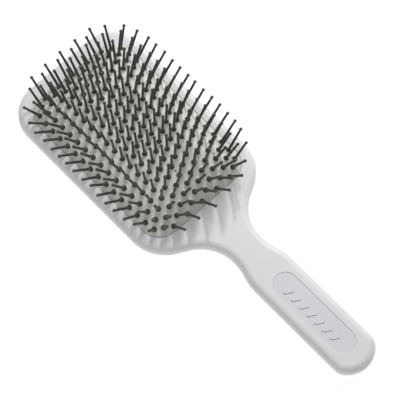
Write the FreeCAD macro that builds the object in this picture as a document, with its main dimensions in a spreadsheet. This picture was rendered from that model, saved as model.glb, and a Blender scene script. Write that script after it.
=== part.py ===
import FreeCAD, Part
import os
import Sketcher
from math import asin, atan, cos, degrees, hypot, pi, radians, sin, sqrt
from random import Random
from FreeCAD import Placement, Rotation, Vector

# Paddle hairbrush with a pneumatic cushion, lying on its back.
# +Z points out of the bristle face, +Y along the brush towards the tip of the head.
# The origin is the middle of the back face, half way along the brush.
# All sizes are millimetres, all angles degrees.

DIMENSIONS = {
    # plan of the moulded body
    "overall_length": 249.0,
    "top_half_width": 42.8,
    "heel_half_width": 42.7,
    "top_corner_radius": 20.9,
    "heel_corner_start": 16.0,
    "heel_corner_radius": 25.2,
    "shoulder_angle": 28.8,
    "neck_radius": 25.1,
    "neck_half_width": 10.5,
    "flare_radius": 34.0,
    "grip_half_width": 13.9,
    "butt_corner_radius": 8.5,
    "butt_radius": 15.5,
    # section of the moulded body
    "face_height": 11.0,
    "face_edge_radius": 4.0,
    "back_edge_radius": 6.0,
    # chamber that the cushion closes
    "cushion_from_tip": 66.3,
    "mouth_half_width": 35.4,
    "mouth_half_length": 55.8,
    "mouth_corner_radius": 13.0,
    "mouth_rim_radius": 0.35,
    "chamber_floor_height": 3.5,
    "lip_thickness": 1.2,
    "groove_height": 1.5,
    "groove_depth": 1.7,
    # rubber cushion
    "cushion_gap": 0.5,
    "flange_gap": 0.05,
    "dome_height": 8.8,
    "dome_side_power": 4.0,
    "dome_end_power": 5.4,
    "rubber_thickness": 1.4,
    "foot_wall": 1.0,
    "vent_radius": 0.6,
    "pin_hole_gap": 0.08,
    # lattice of pins in the rubber
    "column_pitch": 5.5,
    "row_pitch": 6.4,
    "side_crowding": 0.033,
    "end_crowding": 0.021,
    "corner_crowding": 0.095,
    # one pin, measured from the rubber's outer face
    "pin_length": 18.8,
    "ball_radius": 0.95,
    "shaft_foot_radius": 0.86,
    "shaft_tip_radius": 0.64,
    "collar_radius": 1.65,
    "collar_height": 1.6,
    "collar_gap": 0.2,
    "neck_pin_radius": 0.6,
    "disc_radius": 1.3,
    "disc_thickness": 0.8,
    "usual_lean": 1.5,
    "most_lean": 3.5,
    # oval inlay in the handle
    "inlay_centre_from_butt": 40.8,
    "inlay_half_length": 29.2,
    "inlay_half_width": 7.1,
    "inlay_gap": 0.05,
    "inlay_thickness": 1.0,
    "inlay_sink": 0.3,
    "seat_rim_radius": 0.3,
    "chevron_count": 7,
    "chevron_pitch": 6.0,
    "chevron_half_width": 4.2,
    "chevron_rise": 2.6,
    "chevron_stroke": 1.5,
    "chevron_height": 0.45,
}

COLUMNS = 13
ROWS = 18
# row pitches from the cushion's middle back to its air vent
VENT_ROWS = 5
# start of the draw that gives each pin its lean
LEAN_SEED = 5
# share of the dome's height where one band of pins ends and the next begins
BANDS = [
    ("edge", 0.00, 0.22),
    ("rim", 0.22, 0.34),
    ("foot", 0.34, 0.48),
    ("lower", 0.48, 0.60),
    ("middle", 0.60, 0.72),
    ("upper", 0.72, 0.83),
    ("shoulder", 0.83, 0.93),
    ("crown", 0.93, 1.01),
]

doc = FreeCAD.newDocument("PaddleBrush")


def make_sheet():
    """Put every driving dimension in a spreadsheet cell with an alias."""
    sheet = doc.addObject("Spreadsheet::Sheet", "Dimensions")
    for row, (alias, value) in enumerate(DIMENSIONS.items(), start=1):
        sheet.set(f"A{row}", alias.replace("_", " "))
        sheet.set(f"B{row}", str(value))
        sheet.setAlias(f"B{row}", alias)
    doc.recompute()
    return sheet


sheet = make_sheet()


def size(alias):
    """A driving dimension, read back from the sheet."""
    return float(sheet.get(alias))


def bind(obj, prop, formula):
    """Bind a property to a formula over the sheet's aliases, each written in brackets."""
    obj.setExpression(prop, formula.replace("[", "Dimensions.").replace("]", ""))


# ---------------------------------------------------------------- derived places

HEAD_TIP = size("overall_length") / 2
BUTT = -size("overall_length") / 2
CUSHION_Y = HEAD_TIP - size("cushion_from_tip")
INLAY_Y = BUTT + size("inlay_centre_from_butt")
FOOT_HALF_WIDTH = size("mouth_half_width") - size("cushion_gap")
FOOT_HALF_LENGTH = size("mouth_half_length") - size("cushion_gap")
FOOT_CORNER = size("mouth_corner_radius") - size("cushion_gap")


def dome(x, y):
    """Height of the rubber above the face, x and y measured from the cushion's middle."""
    side = abs(x / FOOT_HALF_WIDTH) ** size("dome_side_power")
    end = abs(y / FOOT_HALF_LENGTH) ** size("dome_end_power")
    return size("dome_height") * (1 - side) * (1 - end)


def dome_normal(x, y):
    """Unit normal of the dome, pointing out of the rubber."""
    step = 0.01
    slope_x = (dome(x + step, y) - dome(x - step, y)) / (2 * step)
    slope_y = (dome(x, y + step) - dome(x, y - step)) / (2 * step)
    return Vector(-slope_x, -slope_y, 1).normalize()


# ---------------------------------------------------------------- sketch helpers

def new_body(label):
    body = doc.addObject("PartDesign::Body", label)
    body.Label = label
    return body


def new_sketch(body, name, height=None):
    """A sketch on the body's XY plane, raised to a height given as a formula."""
    sketch = body.newObject("Sketcher::SketchObject", name)
    plane = next(f for f in body.Origin.OriginFeatures if f.Role == "XY_Plane")
    sketch.AttachmentSupport = [(plane, "")]
    sketch.MapMode = "FlatFace"
    if height:
        bind(sketch, "AttachmentOffset.Base.z", height)
    return sketch


def dimension(sketch, name, constraint, formula):
    """Add a named dimension to a sketch and bind it to the sheet."""
    index = sketch.addConstraint(constraint)
    sketch.renameConstraint(index, name)
    bind(sketch, f"Constraints.{name}", formula)


def arc(centre, radius, start, end):
    """Counter-clockwise arc between two angles in degrees."""
    circle = Part.Circle(centre, Vector(0, 0, 1), radius)
    return Part.ArcOfCircle(circle, radians(start), radians(end))


def rounded_rectangle(sketch, half_x, half_y, corner, middle_y, formulas):
    """A rounded rectangle about (0, middle_y); formulas bind half sizes, corner and middle."""
    limit = Sketcher.Constraint
    inner_x, inner_y = half_x - corner, half_y - corner
    turns = [(1, 1, 0), (-1, 1, 90), (-1, -1, 180), (1, -1, 270)]
    corners = [
        sketch.addGeometry(arc(Vector(sx * inner_x, middle_y + sy * inner_y), corner, a, a + 90))
        for sx, sy, a in turns
    ]
    ends = [(cos(radians(a)), sin(radians(a))) for _, _, a in turns]
    lines = []
    for k in range(4):
        (sx, sy, _), (nx, ny, _) = turns[k], turns[(k + 1) % 4]
        out = ends[(k + 1) % 4]
        start = Vector(sx * inner_x + corner * out[0], middle_y + sy * inner_y + corner * out[1])
        end = Vector(nx * inner_x + corner * out[0], middle_y + ny * inner_y + corner * out[1])
        lines.append(sketch.addGeometry(Part.LineSegment(start, end)))
    for k in range(4):
        sketch.addConstraint(limit("Tangent", corners[k], 2, lines[k], 1))
        sketch.addConstraint(limit("Tangent", lines[k], 2, corners[(k + 1) % 4], 1))
        sketch.addConstraint(limit("Horizontal" if k % 2 == 0 else "Vertical", lines[k]))
    for k in range(1, 4):
        sketch.addConstraint(limit("Equal", corners[0], corners[k]))
    width, length, radius, middle = formulas
    top, left, bottom, right = lines
    dimension(sketch, "corner", limit("Radius", corners[0], corner), radius)
    dimension(sketch, "right", limit("DistanceX", -1, 1, right, 1, half_x), width)
    dimension(sketch, "left", limit("DistanceX", left, 1, -1, 1, half_x), width)
    dimension(sketch, "top", limit("DistanceY", -1, 1, top, 1, middle_y + half_y),
              f"{middle} + {length}")
    dimension(sketch, "height", limit("DistanceY", bottom, 1, top, 1, 2 * half_y),
              f"2 * ({length})")


MIDDLE = "([overall_length] / 2 - [cushion_from_tip])"
INLAY_MIDDLE = "([inlay_centre_from_butt] - [overall_length] / 2)"


# ---------------------------------------------------------------- moulded body

def outline_half(sketch):
    """The right half of the body's plan, closed along the Y axis."""
    limit = Sketcher.Constraint
    heel = Vector(size("heel_half_width"), size("heel_corner_start"))
    r_top, r_heel = size("top_corner_radius"), size("heel_corner_radius")
    r_neck, r_flare = size("neck_radius"), size("flare_radius")
    r_corner, r_butt = size("butt_corner_radius"), size("butt_radius")
    neck, grip = size("neck_half_width"), size("grip_half_width")
    slope = radians(size("shoulder_angle"))

    # side: a straight edge that narrows a little towards the tip
    side_top_y = HEAD_TIP - r_top
    lean = (heel.x - size("top_half_width")) / (side_top_y - heel.y)
    side_angle = degrees(atan(lean))
    side_top = Vector(size("top_half_width"), side_top_y)
    outward = Vector(cos(radians(side_angle)), sin(radians(side_angle)))
    top_centre = side_top - outward * r_top
    top_y = top_centre.y + r_top

    # heel corner, straight shoulder and the neck's hollow
    heel_centre = heel - outward * r_heel
    down = Vector(sin(slope), -cos(slope))
    shoulder_start = heel_centre + down * r_heel
    neck_centre_x = neck + r_neck
    shoulder_end_x = neck_centre_x - r_neck * sin(slope)
    drop = (shoulder_start.x - shoulder_end_x) * sin(slope) / cos(slope)
    shoulder_end = Vector(shoulder_end_x, shoulder_start.y - drop)
    neck_y = shoulder_end.y - r_neck * cos(slope)

    # the flare from the neck to the grip is two equal arcs, hollow then full
    spread = (grip - neck) / 2
    reach = sqrt(r_flare ** 2 - (r_flare - spread) ** 2)
    turn = degrees(asin(reach / r_flare))
    flare_end_y = neck_y - 2 * reach

    # rounded butt of the handle
    corner_x = grip - r_corner
    butt_centre_y = BUTT + r_butt
    corner_y = butt_centre_y - sqrt((r_butt - r_corner) ** 2 - corner_x ** 2)
    butt_turn = degrees(asin(corner_x / (r_butt - r_corner)))
    butt_corner = Vector(corner_x, corner_y)

    add = sketch.addGeometry
    top = add(Part.LineSegment(Vector(0, top_y), Vector(top_centre.x, top_y)))
    top_arc = add(arc(top_centre, r_top, side_angle, 90))
    side = add(Part.LineSegment(side_top, heel))
    heel_arc = add(arc(heel_centre, r_heel, size("shoulder_angle") - 90, side_angle))
    shoulder = add(Part.LineSegment(shoulder_start, shoulder_end))
    neck_arc = add(arc(Vector(neck_centre_x, neck_y), r_neck, 90 + size("shoulder_angle"), 180))
    flare_in = add(arc(Vector(neck + r_flare, neck_y), r_flare, 180, 180 + turn))
    flare_out = add(arc(Vector(grip - r_flare, flare_end_y), r_flare, 0, turn))
    grip_side = add(Part.LineSegment(Vector(grip, flare_end_y), Vector(grip, corner_y)))
    corner_arc = add(arc(butt_corner, r_corner, butt_turn - 90, 0))
    butt_arc = add(arc(Vector(0, butt_centre_y), r_butt, -90, butt_turn - 90))
    spine = add(Part.LineSegment(Vector(0, BUTT), Vector(0, top_y)))

    joints = [
        (top, 2, top_arc, 2), (top_arc, 1, side, 1), (side, 2, heel_arc, 2), (heel_arc, 1, shoulder, 1),
        (shoulder, 2, neck_arc, 1), (neck_arc, 2, flare_in, 1), (flare_in, 2, flare_out, 2),
        (flare_out, 1, grip_side, 1), (grip_side, 2, corner_arc, 2), (corner_arc, 1, butt_arc, 2),
    ]
    for first, first_end, second, second_end in joints:
        sketch.addConstraint(limit("Tangent", first, first_end, second, second_end))
    sketch.addConstraint(limit("Coincident", butt_arc, 1, spine, 1))
    sketch.addConstraint(limit("Coincident", spine, 2, top, 1))
    sketch.addConstraint(limit("Vertical", spine))
    sketch.addConstraint(limit("PointOnObject", spine, 1, -2))
    sketch.addConstraint(limit("Horizontal", top))
    sketch.addConstraint(limit("Vertical", grip_side))
    sketch.addConstraint(limit("PointOnObject", butt_arc, 3, -2))
    sketch.addConstraint(limit("Horizontal", neck_arc, 3, neck_arc, 2))
    sketch.addConstraint(limit("Equal", flare_in, flare_out))

    dimension(sketch, "top_corner", limit("Radius", top_arc, r_top), "[top_corner_radius]")
    dimension(sketch, "heel_corner", limit("Radius", heel_arc, r_heel), "[heel_corner_radius]")
    dimension(sketch, "neck_hollow", limit("Radius", neck_arc, r_neck), "[neck_radius]")
    dimension(sketch, "flare", limit("Radius", flare_in, r_flare), "[flare_radius]")
    dimension(sketch, "butt_corner", limit("Radius", corner_arc, r_corner), "[butt_corner_radius]")
    dimension(sketch, "butt", limit("Radius", butt_arc, r_butt), "[butt_radius]")
    dimension(sketch, "heel_x", limit("DistanceX", -1, 1, side, 2, heel.x), "[heel_half_width]")
    dimension(sketch, "heel_y", limit("DistanceY", -1, 1, side, 2, heel.y), "[heel_corner_start]")
    dimension(sketch, "tip_x", limit("DistanceX", -1, 1, side, 1, side_top.x), "[top_half_width]")
    dimension(sketch, "neck_x", limit("DistanceX", -1, 1, neck_arc, 2, neck), "[neck_half_width]")
    dimension(sketch, "grip_x", limit("DistanceX", -1, 1, grip_side, 1, grip), "[grip_half_width]")
    dimension(sketch, "length", limit("DistanceY", spine, 1, spine, 2, top_y - BUTT), "[overall_length]")
    dimension(sketch, "butt_y", limit("DistanceY", spine, 1, -1, 1, -BUTT), "[overall_length] / 2")
    dimension(sketch, "slope", limit("Angle", shoulder, pi + slope), "180 + [shoulder_angle]")


def edges_at(shape, height):
    """Names of the edges that lie wholly in the plane z = height."""
    flat = 1e-4
    return [
        f"Edge{i}" for i, edge in enumerate(shape.Edges, start=1)
        if all(abs(v.Z - height) < flat for v in edge.Vertexes) and edge.BoundBox.ZLength < flat
    ]


def round_rim(body, name, half_x, half_y, middle_y, radius):
    """Round the rim, in the face's plane, of an opening about (0, middle_y)."""
    base = body.Tip
    margin = 0.01

    def on_rim(edge):
        return all(abs(v.X) < half_x + margin and abs(v.Y - middle_y) < half_y + margin
                   for v in base.Shape.getElement(edge).Vertexes)

    fillet = body.newObject("PartDesign::Fillet", name)
    fillet.Base = (base, [edge for edge in edges_at(base.Shape, size("face_height")) if on_rim(edge)])
    bind(fillet, "Radius", radius)
    body.Tip = fillet
    doc.recompute()


def cut_pocket(body, sketch, name, depth):
    """Cut straight down from a sketch by a depth given as a formula."""
    least_cut = 1.0
    before = body.Tip.Shape.Volume
    pocket = body.newObject("PartDesign::Pocket", name)
    pocket.Profile = sketch
    bind(pocket, "Length", depth)
    doc.recompute()
    if pocket.Shape.Volume > before - least_cut:
        raise RuntimeError(f"{name} cuts nothing")
    body.Tip = pocket
    return pocket


def make_body():
    """One white moulding: head, neck and handle, with the chamber and the inlay's seat cut in."""
    body = new_body("body_moulding")
    plan = new_sketch(body, "plan")
    outline_half(plan)
    doc.recompute()

    pad = body.newObject("PartDesign::Pad", "slab")
    pad.Profile = plan
    bind(pad, "Length", "[face_height]")
    doc.recompute()
    mirror = body.newObject("PartDesign::Mirrored", "both_halves")
    mirror.Originals = [pad]
    mirror.MirrorPlane = (plan, ["V_Axis"])
    body.Tip = mirror
    doc.recompute()

    face_round = body.newObject("PartDesign::Fillet", "face_edge")
    face_round.Base = (mirror, edges_at(mirror.Shape, size("face_height")))
    bind(face_round, "Radius", "[face_edge_radius]")
    doc.recompute()
    back_round = body.newObject("PartDesign::Fillet", "back_edge")
    back_round.Base = (face_round, edges_at(face_round.Shape, 0))
    bind(back_round, "Radius", "[back_edge_radius]")
    body.Tip = back_round
    doc.recompute()

    mouth = new_sketch(body, "mouth", "[face_height]")
    rounded_rectangle(
        mouth, size("mouth_half_width"), size("mouth_half_length"), size("mouth_corner_radius"), CUSHION_Y,
        ("[mouth_half_width]", "[mouth_half_length]", "[mouth_corner_radius]", MIDDLE))
    cut_pocket(body, mouth, "chamber", "[face_height] - [chamber_floor_height]")

    groove = new_sketch(body, "groove_plan", "[face_height] - [lip_thickness]")
    grow = size("groove_depth")
    rounded_rectangle(
        groove, size("mouth_half_width") + grow, size("mouth_half_length") + grow,
        size("mouth_corner_radius") + grow, CUSHION_Y,
        ("[mouth_half_width] + [groove_depth]", "[mouth_half_length] + [groove_depth]",
         "[mouth_corner_radius] + [groove_depth]", MIDDLE))
    cut_pocket(body, groove, "flange_groove", "[groove_height]")

    seat = new_sketch(body, "inlay_seat_plan", "[face_height]")
    stadium(seat, size("inlay_half_length"), size("inlay_half_width"), INLAY_Y,
            ("[inlay_half_length]", "[inlay_half_width]", INLAY_MIDDLE))
    cut_pocket(body, seat, "inlay_seat", "[inlay_thickness] + [inlay_sink]")

    round_rim(body, "mouth_rim", size("mouth_half_width"), size("mouth_half_length"), CUSHION_Y,
              "[mouth_rim_radius]")
    round_rim(body, "seat_rim", size("inlay_half_width"), size("inlay_half_length"), INLAY_Y,
              "[seat_rim_radius]")
    return body


# ---------------------------------------------------------------- handle inlay

def stadium(sketch, half_length, half_width, middle_y, formulas):
    """A slot shape along Y about (0, middle_y)."""
    limit = Sketcher.Constraint
    straight = half_length - half_width
    upper = sketch.addGeometry(arc(Vector(0, middle_y + straight), half_width, 0, 180))
    lower = sketch.addGeometry(arc(Vector(0, middle_y - straight), half_width, 180, 360))
    left = sketch.addGeometry(Part.LineSegment(Vector(-half_width, middle_y + straight),
                                               Vector(-half_width, middle_y - straight)))
    right = sketch.addGeometry(Part.LineSegment(Vector(half_width, middle_y - straight),
                                                Vector(half_width, middle_y + straight)))
    for first, first_end, second, second_end in [
            (upper, 2, left, 1), (left, 2, lower, 1), (lower, 2, right, 1), (right, 2, upper, 1)]:
        sketch.addConstraint(limit("Tangent", first, first_end, second, second_end))
    sketch.addConstraint(limit("Vertical", left))
    sketch.addConstraint(limit("PointOnObject", upper, 3, -2))
    length, width, middle = formulas
    dimension(sketch, "end_radius", limit("Radius", upper, half_width), width)
    dimension(sketch, "upper_y", limit("DistanceY", -1, 1, upper, 3, middle_y + straight),
              f"{middle} + {length} - ({width})")
    dimension(sketch, "lower_y", limit("DistanceY", -1, 1, lower, 3, middle_y - straight),
              f"{middle} - ({length}) + {width}")


def make_inlay():
    """Oval plate let into the handle, with a row of plain raised chevrons."""
    body = new_body("handle_inlay")
    half_length = size("inlay_half_length") - size("inlay_gap")
    half_width = size("inlay_half_width") - size("inlay_gap")
    oval = new_sketch(body, "oval", "[face_height] - [inlay_sink] - [inlay_thickness]")
    stadium(oval, half_length, half_width, INLAY_Y,
            ("[inlay_half_length] - [inlay_gap]", "([inlay_half_width] - [inlay_gap])", INLAY_MIDDLE))
    plate = body.newObject("PartDesign::Pad", "plate")
    plate.Profile = oval
    bind(plate, "Length", "[inlay_thickness]")
    doc.recompute()

    mark = new_sketch(body, "chevron_plan", "[face_height] - [inlay_sink]")
    first_y = INLAY_Y - size("chevron_pitch") * (size("chevron_count") - 1) / 2
    half, rise, stroke = size("chevron_half_width"), size("chevron_rise"), size("chevron_stroke")
    low = first_y - (rise + stroke) / 2
    corners = [
        Vector(0, low), Vector(half, low + rise), Vector(half, low + rise + stroke),
        Vector(0, low + stroke), Vector(-half, low + rise + stroke), Vector(-half, low + rise),
    ]
    lines = [
        mark.addGeometry(Part.LineSegment(corners[k], corners[(k + 1) % 6])) for k in range(6)
    ]
    limit = Sketcher.Constraint
    for k in range(6):
        mark.addConstraint(limit("Coincident", lines[k], 2, lines[(k + 1) % 6], 1))
    dimension(mark, "stroke", limit("DistanceY", lines[0], 1, lines[3], 1, stroke), "[chevron_stroke]")
    mark.addConstraint(limit("Vertical", lines[1]))
    mark.addConstraint(limit("Vertical", lines[4]))
    mark.addConstraint(limit("PointOnObject", lines[0], 1, -2))
    mark.addConstraint(limit("PointOnObject", lines[3], 1, -2))
    mark.addConstraint(limit("Parallel", lines[0], lines[2]))
    mark.addConstraint(limit("Parallel", lines[3], lines[5]))
    dimension(mark, "half_width", limit("DistanceX", lines[0], 1, lines[0], 2, half), "[chevron_half_width]")
    dimension(mark, "rise", limit("DistanceY", lines[0], 1, lines[0], 2, rise), "[chevron_rise]")
    mark.addConstraint(limit("Symmetric", lines[0], 2, lines[4], 2, -2))
    dimension(mark, "place", limit("DistanceY", lines[0], 1, -1, 1, -low),
              f"-({INLAY_MIDDLE}) + [chevron_pitch] * ([chevron_count] - 1) / 2"
              " + ([chevron_rise] + [chevron_stroke]) / 2")
    chevron = body.newObject("PartDesign::Pad", "chevron")
    chevron.Profile = mark
    bind(chevron, "Length", "[chevron_height]")
    doc.recompute()

    row = body.newObject("PartDesign::LinearPattern", "chevron_row")
    row.Originals = [chevron]
    row.Direction = (mark, ["V_Axis"])
    bind(row, "Length", "[chevron_pitch] * ([chevron_count] - 1)")
    bind(row, "Occurrences", "[chevron_count]")
    body.Tip = row
    doc.recompute()
    return body


# ---------------------------------------------------------------- pin lattice

def pin_places():
    """Every pin's spot on the cushion: staggered columns, crowded slightly towards the edges."""
    places = []
    for column in range(COLUMNS):
        i = column - (COLUMNS - 1) / 2
        at_edge = column in (0, COLUMNS - 1)
        shift = column % 2 / 2
        first = 1 if at_edge else 0
        last = ROWS - 1 if at_edge else ROWS - 2 * shift
        for row in range(first, int(last)):
            k = (ROWS - 1) / 2 - row - shift
            across, along = 2 * i / (COLUMNS - 1), 2 * k / (ROWS - 1)
            crowding = size("side_crowding") + size("corner_crowding") * along ** 8
            x = size("column_pitch") * i * (1 - crowding * across ** 4)
            y = size("row_pitch") * k * (1 - size("end_crowding") * along ** 4)
            places.append((x, y))
    return places


def vent_place():
    """The cushion's air vent, on the middle column half way between two pins near the heel."""
    return 0.0, -VENT_ROWS * size("row_pitch")


def band_of(x, y):
    share = dome(x, y) / size("dome_height")
    return next(name for name, low, high in BANDS if low <= share < high)


def side_of(x, y):
    if abs(x) / FOOT_HALF_WIDTH > abs(y) / FOOT_HALF_LENGTH:
        return "left" if x < 0 else "right"
    return "tip" if y > 0 else "heel"


def on_cushion(x, y):
    """Placement of something that stands square on the dome."""
    foot = Vector(x, CUSHION_Y + y, size("face_height") + dome(x, y))
    return Placement(foot, Rotation(Vector(0, 0, 1), dome_normal(x, y)))


def pin_stands():
    """Spot and placement of every pin; each leans a little, as pins in soft rubber do."""
    draw = Random(LEAN_SEED)
    stands = []
    for x, y in pin_places():
        lean_x, lean_y = draw.gauss(0, size("usual_lean")), draw.gauss(0, size("usual_lean"))
        lean = min(hypot(lean_x, lean_y), size("most_lean"))
        turn = Placement(Vector(), Rotation(Vector(lean_x, lean_y, 0), lean))
        stands.append((x, y, on_cushion(x, y) * turn))
    return stands


# ---------------------------------------------------------------- rubber cushion

def rounded_prism(half_x, half_y, corner, low, high):
    """A vertical prism with a rounded-rectangle plan about the cushion's middle."""
    box = Part.makeBox(2 * half_x, 2 * half_y, high - low, Vector(-half_x, CUSHION_Y - half_y, low))
    upright = [e for e in box.Edges if abs(e.Vertexes[0].Z - e.Vertexes[1].Z) > (high - low) / 2]
    return box.makeFillet(corner, upright)


def dome_block(drop):
    """Everything under the dome's surface lowered by a drop, down past the chamber's floor."""
    spans_x, spans_y, past = 24, 36, 0.02
    half_x, half_y = FOOT_HALF_WIDTH + past, FOOT_HALF_LENGTH + past
    grid = []
    for i in range(spans_x + 1):
        # cosine spacing puts more points on the steep borders
        x = -half_x * cos(pi * i / spans_x)
        line = []
        for j in range(spans_y + 1):
            y = -half_y * cos(pi * j / spans_y)
            line.append(Vector(x, CUSHION_Y + y, size("face_height") + dome(x, y) - drop))
        grid.append(line)
    surface = Part.BSplineSurface()
    surface.interpolate(grid)
    return surface.toShape().extrude(Vector(0, 0, -2 * size("face_height")))


def make_cushion():
    """Domed rubber membrane with a foot wall and a flange that sits in the body's groove."""
    flange_low = size("face_height") - size("lip_thickness") - size("groove_height") + size("flange_gap")
    flange_high = size("face_height") - size("lip_thickness") - size("flange_gap")
    above = size("face_height") + 2 * size("dome_height")
    wall = size("foot_wall")

    outer = rounded_prism(FOOT_HALF_WIDTH, FOOT_HALF_LENGTH, FOOT_CORNER, flange_low, above)
    outer = outer.common(dome_block(0))
    inner = rounded_prism(FOOT_HALF_WIDTH - wall, FOOT_HALF_LENGTH - wall, FOOT_CORNER - wall,
                          flange_low - 1, above)
    inner = inner.common(dome_block(size("rubber_thickness")))
    reach = size("cushion_gap") + size("groove_depth") - size("flange_gap")
    flange = rounded_prism(FOOT_HALF_WIDTH + reach, FOOT_HALF_LENGTH + reach, FOOT_CORNER + reach,
                           flange_low, flange_high)
    rubber = outer.fuse(flange).cut(inner)

    hole_radius = size("neck_pin_radius") + size("pin_hole_gap")
    depth = 3 * size("rubber_thickness")
    tools = []
    for _, _, stand in pin_stands():
        hole = Part.makeCylinder(hole_radius, depth, Vector(0, 0, -depth / 2))
        hole.Placement = stand
        tools.append(hole)
    vent = Part.makeCylinder(size("vent_radius"), depth, Vector(0, 0, -depth / 2))
    vent.Placement = on_cushion(*vent_place())
    tools.append(vent)
    rubber = rubber.cut(tools)

    cushion = doc.addObject("Part::Feature", "air_cushion")
    cushion.Label = "air_cushion"
    cushion.Shape = rubber
    cushion.Placement = Placement()
    return cushion


# ---------------------------------------------------------------- pins

def make_pin_pattern():
    """One nylon pin, upright, its zero height at the rubber's outer face."""
    ball = doc.addObject("Part::Sphere", "ball_tip")
    bind(ball, "Radius", "[ball_radius]")
    bind(ball, "Placement.Base.z", "[pin_length] - [ball_radius]")
    shaft = doc.addObject("Part::Cone", "shaft")
    bind(shaft, "Radius1", "[shaft_foot_radius]")
    bind(shaft, "Radius2", "[shaft_tip_radius]")
    bind(shaft, "Height", "[pin_length] - [ball_radius] - [collar_gap]")
    bind(shaft, "Placement.Base.z", "[collar_gap]")
    collar = doc.addObject("Part::Cone", "collar")
    bind(collar, "Radius1", "[collar_radius]")
    bind(collar, "Radius2", "[shaft_foot_radius]")
    bind(collar, "Height", "[collar_height]")
    bind(collar, "Placement.Base.z", "[collar_gap]")
    neck = doc.addObject("Part::Cylinder", "neck")
    bind(neck, "Radius", "[neck_pin_radius]")
    bind(neck, "Height", "[rubber_thickness] + 2 * [collar_gap]")
    bind(neck, "Placement.Base.z", "-[rubber_thickness] - [collar_gap]")
    disc = doc.addObject("Part::Cylinder", "base_disc")
    bind(disc, "Radius", "[disc_radius]")
    bind(disc, "Height", "[disc_thickness]")
    bind(disc, "Placement.Base.z", "-[rubber_thickness] - [collar_gap] - [disc_thickness]")
    pin = doc.addObject("Part::MultiFuse", "pin_pattern")
    pin.Shapes = [ball, shaft, collar, neck, disc]
    pin.Refine = True
    doc.recompute()
    return pin


def make_pins(pin):
    """Copies of the pin on the cushion, one node for each side of each height band."""
    groups = {}
    for x, y, stand in pin_stands():
        band = band_of(x, y)
        label = "crown_pins" if band == "crown" else f"{band}_pins_{side_of(x, y)}"
        copy = pin.Shape.copy()
        copy.Placement = stand
        groups.setdefault(label, []).append(copy)
    nodes = []
    for label, copies in sorted(groups.items()):
        node = doc.addObject("Part::Feature", label)
        node.Label = label
        node.Shape = Part.makeCompound(copies)
        node.Placement = Placement()
        nodes.append(node)
    return nodes


# ---------------------------------------------------------------- build, check, write

parts = [make_body(), make_inlay(), make_cushion()]
pin = make_pin_pattern()
parts += make_pins(pin)
doc.recompute()

for obj in doc.Objects:
    if "Invalid" in obj.State or "Error" in obj.State:
        raise RuntimeError(f"{obj.Label} failed: {obj.State}")
for part in parts:
    if part.Shape.isNull() or not part.Shape.isValid():
        raise RuntimeError(f"{part.Label} has no valid shape")

os.makedirs("parts", exist_ok=True)
for part in parts:
    part.Shape.exportStep(f"parts/{part.Label}.step")
    print(part.Label, len(part.Shape.Solids), "solids", round(part.Shape.Volume), "mm3")
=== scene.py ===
"""Looks of the paddle hairbrush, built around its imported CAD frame. Sizes are metres."""

import bmesh
import bpy
import numpy as np
from math import cos, pi, radians, sin
from mathutils import Matrix, Vector
from mathutils.geometry import delaunay_2d_cdt


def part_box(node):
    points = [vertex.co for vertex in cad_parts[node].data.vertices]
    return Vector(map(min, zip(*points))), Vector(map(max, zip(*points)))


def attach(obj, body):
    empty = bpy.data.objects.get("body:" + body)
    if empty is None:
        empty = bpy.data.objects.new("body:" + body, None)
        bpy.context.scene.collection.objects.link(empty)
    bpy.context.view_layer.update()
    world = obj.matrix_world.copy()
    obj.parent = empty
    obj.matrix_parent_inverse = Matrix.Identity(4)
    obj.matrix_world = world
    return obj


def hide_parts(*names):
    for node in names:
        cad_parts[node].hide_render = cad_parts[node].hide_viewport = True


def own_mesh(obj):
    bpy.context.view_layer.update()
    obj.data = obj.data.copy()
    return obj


MM = 0.001

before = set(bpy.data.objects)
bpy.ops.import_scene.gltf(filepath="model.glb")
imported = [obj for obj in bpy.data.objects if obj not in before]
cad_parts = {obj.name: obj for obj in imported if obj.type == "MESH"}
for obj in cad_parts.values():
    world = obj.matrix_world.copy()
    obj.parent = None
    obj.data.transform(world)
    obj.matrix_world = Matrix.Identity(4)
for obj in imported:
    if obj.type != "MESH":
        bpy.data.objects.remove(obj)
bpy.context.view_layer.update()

# ---------------------------------------------------------------- places read from the frame

BODY_LOW, BODY_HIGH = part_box("body_moulding")
RUBBER_LOW, RUBBER_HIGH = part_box("air_cushion")
FACE = BODY_HIGH.z
CUSHION_Y = (RUBBER_LOW.y + RUBBER_HIGH.y) / 2
DOME_HEIGHT = RUBBER_HIGH.z - FACE

# ---------------------------------------------------------------- sizes of the rubber cushion

FLANGE_REACH = 2.15 * MM
FOOT_HALF_X = (RUBBER_HIGH.x - RUBBER_LOW.x) / 2 - FLANGE_REACH
FOOT_HALF_Y = (RUBBER_HIGH.y - RUBBER_LOW.y) / 2 - FLANGE_REACH
FOOT_CORNER = 12.5 * MM
FLANGE_LOW = RUBBER_LOW.z
FLANGE_THICKNESS = 1.4 * MM
FOOT_WALL = 1.0 * MM
DOME_SIDE_POWER = 4.0
DOME_END_POWER = 5.4
RUBBER_THICKNESS = 1.4 * MM
# the foot swells until it almost meets the mouth's wall, and its border is rounded
SEAM_SWELL = 0.3 * MM
EDGE_ROUND = 0.5 * MM
HOLE_RADIUS = 0.68 * MM
VENT_RADIUS = 0.6 * MM

# pin lattice: staggered columns, crowded slightly towards the edges
COLUMNS = 13
ROWS = 18
COLUMN_PITCH = 5.5 * MM
ROW_PITCH = 6.4 * MM
SIDE_CROWDING = 0.033
END_CROWDING = 0.021
CORNER_CROWDING = 0.095
# the air vent lies this many rows from the middle, towards the handle
VENT_ROWS = 5

# the rubber rises round each pin's neck and sinks a little beyond it
BOSS_HEIGHT = 0.3 * MM
BOSS_RADIUS = 1.75 * MM
HOLLOW_DEPTH = 0.4 * MM
HOLLOW_RADIUS = 2.7 * MM
HOLLOW_WIDTH = 0.8 * MM
PUCKER_FADE = 3 * MM

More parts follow.
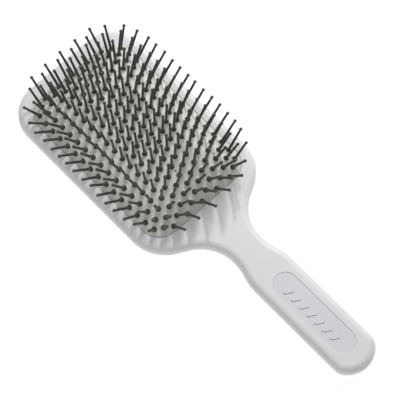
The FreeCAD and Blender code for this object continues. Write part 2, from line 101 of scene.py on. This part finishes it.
# fineness of the cushion's mesh: rings of points round each hole, and a plain grid between them
HOLE_POINTS = 14
PIN_RINGS = [(1.15 * MM, 14), (1.7 * MM, 16), (2.4 * MM, 18)]
VENT_RING = 1.0 * MM
GRID_STEP = 0.95 * MM
ROW_SHARE = 0.87
GRID_TO_PIN = 2.8 * MM
GRID_TO_VENT = 1.3 * MM
RING_TO_EDGE = 0.4 * MM
GRID_TO_EDGE = 0.5 * MM
OUTLINE_STEP = 0.973 * MM
CORNER_STEPS = 16
SHOULDER_TURNS = (22, 45, 68, 90)

# numbers that the triangulation takes: faces inside the outline only, and its tolerance in millimetres
INSIDE_ONLY = 1
CLOSEST_POINTS = 1e-6
# a triangle whose centre is nearer to a hole's middle than this share of its radius lies in the hole
IN_HOLE = 0.98


# ---------------------------------------------------------------- materials

# noise values lie mostly between these two
NOISE_LOW = 0.3
NOISE_HIGH = 0.7
# numbers of a Mix node's colour sockets, whose names are not unique
MIX_FACTOR, MIX_DARK, MIX_LIGHT, MIX_RESULT = 0, 6, 7, 2
# how much rougher than its glossiest spots a moulded plastic gets
GLOSS_SPREAD = 0.08


def new_material(name):
    """A new node material, its node tree and its shader."""
    material = bpy.data.materials.new(name)
    material.use_nodes = True
    tree = material.node_tree
    shader = next(n for n in tree.nodes if n.type == "BSDF_PRINCIPLED")
    return material, tree, shader


def noise(tree, scale, detail=3.0, roughness=0.5):
    """Noise in the object's own coordinates; scale is cycles a metre."""
    place = tree.nodes.new("ShaderNodeTexCoord")
    texture = tree.nodes.new("ShaderNodeTexNoise")
    texture.inputs["Scale"].default_value = scale
    texture.inputs["Detail"].default_value = detail
    texture.inputs["Roughness"].default_value = roughness
    tree.links.new(place.outputs["Object"], texture.inputs["Vector"])
    return texture.outputs["Fac"]


def spread(tree, value, low, high):
    """Stretch a noise value's middle range over low..high."""
    remap = tree.nodes.new("ShaderNodeMapRange")
    remap.inputs["From Min"].default_value = NOISE_LOW
    remap.inputs["From Max"].default_value = NOISE_HIGH
    remap.inputs["To Min"].default_value = low
    remap.inputs["To Max"].default_value = high
    tree.links.new(value, remap.inputs["Value"])
    return remap.outputs["Result"]


def tint(tree, value, dark, light):
    """Blend two colours by a noise value."""
    mix = tree.nodes.new("ShaderNodeMix")
    mix.data_type = "RGBA"
    mix.inputs[MIX_DARK].default_value = (*dark, 1)
    mix.inputs[MIX_LIGHT].default_value = (*light, 1)
    tree.links.new(spread(tree, value, 0, 1), mix.inputs[MIX_FACTOR])
    return mix.outputs[MIX_RESULT]


def bump(tree, layers):
    """Stack bumps, each (height value, depth in metres, strength)."""
    normal = None
    for height, depth, strength in layers:
        node = tree.nodes.new("ShaderNodeBump")
        node.inputs["Distance"].default_value = depth
        node.inputs["Strength"].default_value = strength
        tree.links.new(height, node.inputs["Height"])
        if normal:
            tree.links.new(normal, node.inputs["Normal"])
        normal = node.outputs["Normal"]
    return normal


def moulded_plastic(name, dark, light, gloss, grain_depth):
    """Satin moulded plastic: slight mottling, fine spark-eroded grain and faint flow waves."""
    material, tree, shader = new_material(name)
    colour = tint(tree, noise(tree, scale=45, detail=4), dark, light)
    tree.links.new(colour, shader.inputs["Base Color"])
    rough = spread(tree, noise(tree, scale=160), gloss, gloss + GLOSS_SPREAD)
    tree.links.new(rough, shader.inputs["Roughness"])
    waves = (noise(tree, scale=28, detail=1), 0.25 * MM, 0.35)
    grain = (noise(tree, scale=2600, detail=2, roughness=0.6), grain_depth, 0.5)
    tree.links.new(bump(tree, [waves, grain]), shader.inputs["Normal"])
    return material


def rubber(name, dark, light):
    """Soft matte rubber: a cloudy colour that is partly its own uneven tone and partly painted shade and
    light between the pins, shallow creases, a fine skin and a faint bloom.
    """
    material, tree, shader = new_material(name)
    # the cloudy tint is partly painted shade and light: its blotches stand in for the pins' shadows and
    # the lit strips between them
    colour = tint(tree, noise(tree, scale=130, detail=4, roughness=0.6), dark, light)
    tree.links.new(colour, shader.inputs["Base Color"])
    rough = spread(tree, noise(tree, scale=220), low=0.46, high=0.58)
    tree.links.new(rough, shader.inputs["Roughness"])
    creases = (noise(tree, scale=140, detail=2), 0.2 * MM, 0.25)
    skin = (noise(tree, scale=1800, roughness=0.6), 0.05 * MM, 0.4)
    tree.links.new(bump(tree, [creases, skin]), shader.inputs["Normal"])
    shader.inputs["Sheen Weight"].default_value = 0.1
    return material


# darkest and lightest colour, roughness where it is glossiest, depth of the grain
WHITE = moulded_plastic("white_plastic", (0.762, 0.752, 0.762), (0.792, 0.782, 0.792), 0.34, 0.03 * MM)
INLAY = moulded_plastic("inlay_plastic", (0.695, 0.685, 0.725), (0.725, 0.715, 0.755), 0.40, 0.04 * MM)
# the rubber's wide spread from dark to light is partly painted shade and light between the pins
RUBBER = rubber("cushion_rubber", (0.62, 0.63, 0.59), (0.76, 0.77, 0.73))
NYLON = moulded_plastic("pin_nylon", (0.057, 0.060, 0.052), (0.076, 0.079, 0.070), 0.36, 0.01 * MM)


def paint_cad_nodes():
    """Give every shown CAD node its material."""
    for name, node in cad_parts.items():
        material = {"body_moulding": WHITE, "handle_inlay": INLAY}.get(name, NYLON)
        node.data.materials.clear()
        node.data.materials.append(material)


# ---------------------------------------------------------------- rubber cushion

def pin_places():
    """Every pin's spot on the cushion, measured from its middle."""
    places = []
    for column in range(COLUMNS):
        i = column - (COLUMNS - 1) / 2
        at_edge = column in (0, COLUMNS - 1)
        shift = column % 2 / 2
        first = 1 if at_edge else 0
        last = ROWS - 1 if at_edge else ROWS - 2 * shift
        for row in range(first, int(last)):
            k = (ROWS - 1) / 2 - row - shift
            across, along = 2 * i / (COLUMNS - 1), 2 * k / (ROWS - 1)
            crowding = SIDE_CROWDING + CORNER_CROWDING * along ** 8
            x = COLUMN_PITCH * i * (1 - crowding * across ** 4)
            y = ROW_PITCH * k * (1 - END_CROWDING * along ** 4)
            places.append((x, y))
    return places


PINS = np.array(pin_places())
VENT = np.array([0.0, -VENT_ROWS * ROW_PITCH])


def dome(points):
    """Height of the plain dome above the face at each plan point."""
    side = np.abs(points[:, 0] / FOOT_HALF_X) ** DOME_SIDE_POWER
    end = np.abs(points[:, 1] / FOOT_HALF_Y) ** DOME_END_POWER
    return DOME_HEIGHT * (1 - side) * (1 - end)


def dome_normals(points):
    """Unit normal of the plain dome at each plan point."""
    step = 0.01 * MM
    across, along = np.array([step, 0]), np.array([0, step])
    slope_x = (dome(points + across) - dome(points - across)) / (2 * step)
    slope_y = (dome(points + along) - dome(points - along)) / (2 * step)
    normals = np.stack([-slope_x, -slope_y, np.ones(len(points))], axis=1)
    return normals / np.linalg.norm(normals, axis=1, keepdims=True)


def pin_distance(points):
    """Distance in the plan from each point to the nearest pin."""
    return np.linalg.norm(points[:, None, :] - PINS[None, :, :], axis=2).min(axis=1)


def edge_distance(points):
    """Distance in from the foot's outline."""
    qx = np.abs(points[:, 0]) - (FOOT_HALF_X - FOOT_CORNER)
    qy = np.abs(points[:, 1]) - (FOOT_HALF_Y - FOOT_CORNER)
    corner = np.hypot(np.maximum(qx, 0), np.maximum(qy, 0)) + np.minimum(np.maximum(qx, qy), 0)
    return FOOT_CORNER - corner


def puckers(points):
    """Rise of the skin round the pins: a boss at each neck, with a shallow hollow round it."""
    gap = pin_distance(points)
    boss = BOSS_HEIGHT * np.exp(-((gap / BOSS_RADIUS) ** 4))
    hollow = HOLLOW_DEPTH * np.exp(-((gap - HOLLOW_RADIUS) / HOLLOW_WIDTH) ** 2)
    return (boss - hollow) * np.clip(edge_distance(points) / PUCKER_FADE, 0, 1)


def foot_outline(inset):
    """Plan of the cushion's foot, moved in by an inset, as a loop of points."""
    corner = FOOT_CORNER - inset
    inner_x, inner_y = FOOT_HALF_X - FOOT_CORNER, FOOT_HALF_Y - FOOT_CORNER
    loop = []
    for sx, sy, start in [(1, 1, 0), (-1, 1, 90), (-1, -1, 180), (1, -1, 270)]:
        for step in range(CORNER_STEPS + 1):
            angle = radians(start + 90 * step / CORNER_STEPS)
            loop.append((sx * inner_x + corner * cos(angle), sy * inner_y + corner * sin(angle)))
    return fill_long_runs(np.array(loop))


def fill_long_runs(loop):
    """Divide each straight run of a closed loop in steps of about a millimetre."""
    corner_step = pi / 2 * FOOT_CORNER / CORNER_STEPS
    filled = []
    for a, b in zip(loop, np.roll(loop, -1, axis=0)):
        run = b - a
        length = np.linalg.norm(run)
        steps = round(length / OUTLINE_STEP) if length > 2 * corner_step else 1
        filled += [a + run * s / steps for s in range(steps)]
    return np.array(filled)


def circle(middle, radius, count, phase=0.0):
    """Points on a circle, turned by a phase in steps."""
    angles = 2 * pi * (np.arange(count) + phase) / count
    return np.asarray(middle) + radius * np.stack([np.cos(angles), np.sin(angles)], axis=1)


def closed_loop(start, count):
    """Edges that join a run of point numbers into a loop."""
    return [(start + k, start + (k + 1) % count) for k in range(count)]


def membrane_plan(outline):
    """Triangles over the membrane's plan, with rings of points round every hole."""
    border = EDGE_ROUND - SEAM_SWELL
    xs = np.arange(-FOOT_HALF_X, FOOT_HALF_X, GRID_STEP)
    ys = np.arange(-FOOT_HALF_Y, FOOT_HALF_Y, GRID_STEP * ROW_SHARE)
    grid = np.array([(x + (j % 2) * GRID_STEP / 2, y) for j, y in enumerate(ys) for x in xs])
    grid = grid[edge_distance(grid) > border + GRID_TO_EDGE]
    to_vent = np.linalg.norm(grid - VENT, axis=1)
    grid = grid[(pin_distance(grid) > GRID_TO_PIN) & (to_vent > GRID_TO_VENT)]

    points = [outline]
    edges = closed_loop(0, len(outline))
    holes = [(p, HOLE_RADIUS) for p in PINS] + [(VENT, VENT_RADIUS)]
    hole_loops = []
    for n, (middle, radius) in enumerate(holes):
        start = len(outline) + n * HOLE_POINTS
        edges += closed_loop(start, HOLE_POINTS)
        hole_loops.append(list(range(start, start + HOLE_POINTS)))
        points.append(circle(middle, radius, HOLE_POINTS))
    for radius, number in PIN_RINGS:
        for p in PINS:
            ring = circle(p, radius, number, 0.5)
            points.append(ring[edge_distance(ring) > border + RING_TO_EDGE])
    points.append(circle(VENT, VENT_RING, HOLE_POINTS, 0.5))
    points.append(grid)
    plan = np.concatenate(points)
    verts, _, faces, _, _, _ = delaunay_2d_cdt(
        [Vector(p) / MM for p in plan], edges, [list(range(len(outline)))], INSIDE_ONLY, CLOSEST_POINTS)
    out = np.array([(v.x, v.y) for v in verts]) * MM
    triangles = np.array([f for f in faces if len(f) == 3])
    centres = out[triangles].mean(axis=1)
    keep = np.ones(len(triangles), bool)
    for middle, radius in holes:
        keep &= np.linalg.norm(centres - middle, axis=1) > radius * IN_HOLE
    return out, triangles[keep], hole_loops


def make_cushion():
    """Closed rubber moulding: pierced domed membrane, foot wall and flange."""
    outline = foot_outline(EDGE_ROUND - SEAM_SWELL)
    plan, triangles, hole_loops = membrane_plan(outline)
    count = len(outline)
    normals = dome_normals(plan)
    rise = FACE + dome(plan) + puckers(plan)
    outer = np.column_stack([plan[:, 0], plan[:, 1] + CUSHION_Y, rise])
    inner = outer - normals * RUBBER_THICKNESS

    mesh = bmesh.new()
    top = [mesh.verts.new(p) for p in outer]
    under = [mesh.verts.new(p) for p in inner]
    for a, b, c in triangles:
        mesh.faces.new((top[a], top[b], top[c]))
        mesh.faces.new((under[c], under[b], under[a]))
    for ids in hole_loops:
        for k, first in enumerate(ids):
            second = ids[(k + 1) % len(ids)]
            mesh.faces.new((top[first], under[first], under[second], top[second]))

    # border: a rounded shoulder, the foot wall, the flange and back up to the underside
    loops = [top[:count]]
    edge_heights = rise[:count]
    for angle in SHOULDER_TURNS:
        inset = EDGE_ROUND * (1 - sin(radians(angle))) - SEAM_SWELL
        drop = EDGE_ROUND * (1 - cos(radians(angle)))
        loops.append(ring_at(mesh, foot_outline(inset), edge_heights - drop))
    flange_high = FLANGE_LOW + FLANGE_THICKNESS
    section = [
        (-SEAM_SWELL, flange_high), (-FLANGE_REACH, flange_high), (-FLANGE_REACH, FLANGE_LOW),
        (FOOT_WALL, FLANGE_LOW), (FOOT_WALL, flange_high),
    ]
    for inset, height in section:
        loops.append(ring_at(mesh, foot_outline(inset), np.full(count, height)))
    loops.append(under[:count])
    for upper, lower in zip(loops, loops[1:]):
        for k in range(count):
            n = (k + 1) % count
            mesh.faces.new((upper[k], lower[k], lower[n], upper[n]))
    bmesh.ops.recalc_face_normals(mesh, faces=mesh.faces)
    cushion = object_from(mesh, "rubber_air_cushion", RUBBER)
    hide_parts("air_cushion")
    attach(cushion, "brush_body")
    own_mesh(cushion)


def ring_at(mesh, plan, heights):
    """New vertices over a plan loop, at the given heights."""
    return [mesh.verts.new((x, y + CUSHION_Y, z)) for (x, y), z in zip(plan, heights)]


def object_from(mesh, name, material, smooth_angle=35):
    """Finish a bmesh as an object with one material, smooth but for its sharp edges."""
    data = bpy.data.meshes.new(name)
    mesh.to_mesh(data)
    mesh.free()
    data.materials.append(material)
    data.shade_smooth()
    data.set_sharp_from_angle(angle=radians(smooth_angle))
    piece = bpy.data.objects.new(name, data)
    bpy.context.scene.collection.objects.link(piece)
    return piece


# ---------------------------------------------------------------- studio

# soft lights: azimuth from +Y towards +X, elevation, distance, width and height, power in watts
SOFT_LIGHTS = {
    "key": (57.5, 42, 0.9, (0.075, 0.08), 3.2),
    "side": (78, 36, 1.2, (0.9, 0.7), 4.6),
    "front": (240, 55, 1.6, (1.1, 0.9), 6.2),
    "overhead": (15, 76, 0.6, (0.4, 0.4), 0.72),
}
SKY_STRENGTH = 0.14
FLOOR_SIZE = 8.0
FLOOR_GREY = 0.2
FLOOR_GLOW = 0.88
FLOOR_ROUGHNESS = 0.9
FLOOR_GAP = 0.1 * MM

# camera: lens and sensor in millimetres, the point it looks at, where it stands from there, and its roll
LENS = 170
SENSOR = 36
CAMERA_TARGET = Vector((0.1 * MM, 6.7 * MM, FACE))
CAMERA_AZIMUTH = 221.86
CAMERA_ELEVATION = 67.90
CAMERA_DISTANCE = 1.0489
CAMERA_ROLL = -1.55


def towards(azimuth, elevation):
    """Unit vector at an azimuth from +Y towards +X and an elevation, in degrees."""
    a, e = radians(azimuth), radians(elevation)
    return Vector((sin(a) * cos(e), cos(a) * cos(e), sin(e)))


def aim(obj, place, target, roll=0.0):
    """Place an object and turn its -Z axis to a target, with a roll in degrees."""
    look = (target - place).to_track_quat("-Z", "Y").to_matrix().to_4x4()
    obj.matrix_world = Matrix.Translation(place) @ look @ Matrix.Rotation(radians(roll), 4, "Z")


def soft_light(name, azimuth, elevation, distance, size, power):
    """A rectangular area light that looks at the middle of the brush."""
    light = bpy.data.lights.new(name, "AREA")
    light.shape = "RECTANGLE"
    light.size, light.size_y = size
    light.energy = power
    obj = bpy.data.objects.new(name, light)
    bpy.context.scene.collection.objects.link(obj)
    middle = Vector((0, CUSHION_Y / 2, FACE))
    aim(obj, middle + towards(azimuth, elevation) * distance, middle)


def make_floor():
    """Plain pale paper that glows a little, so that shadows on it stay faint."""
    mesh = bmesh.new()
    bmesh.ops.create_grid(mesh, x_segments=1, y_segments=1, size=FLOOR_SIZE / 2)
    material, _, shader = new_material("floor_paper")
    shader.inputs["Base Color"].default_value = (FLOOR_GREY, FLOOR_GREY, FLOOR_GREY, 1)
    shader.inputs["Roughness"].default_value = FLOOR_ROUGHNESS
    shader.inputs["Emission Color"].default_value = (1, 1, 1, 1)
    shader.inputs["Emission Strength"].default_value = FLOOR_GLOW
    floor = object_from(mesh, "floor", material)
    floor.location.z = BODY_LOW.z - FLOOR_GAP


def make_studio():
    """Floor, soft lights and an even sky."""
    make_floor()
    for name, setting in SOFT_LIGHTS.items():
        soft_light(name, *setting)
    world = bpy.data.worlds.new("sky")
    bpy.context.scene.world = world
    world.use_nodes = True
    background = world.node_tree.nodes["Background"]
    background.inputs["Color"].default_value = (1, 1, 1, 1)
    background.inputs["Strength"].default_value = SKY_STRENGTH
    bpy.context.scene.view_settings.view_transform = "Standard"


def make_camera():
    """The viewpoint: high over the handle's left, with a long lens."""
    camera = bpy.data.cameras.new("camera")
    camera.lens = LENS
    camera.sensor_width = SENSOR
    obj = bpy.data.objects.new("camera", camera)
    bpy.context.scene.collection.objects.link(obj)
    place = CAMERA_TARGET + towards(CAMERA_AZIMUTH, CAMERA_ELEVATION) * CAMERA_DISTANCE
    aim(obj, place, CAMERA_TARGET, CAMERA_ROLL)
    bpy.context.scene.camera = obj


paint_cad_nodes()
make_cushion()
make_studio()
make_camera()
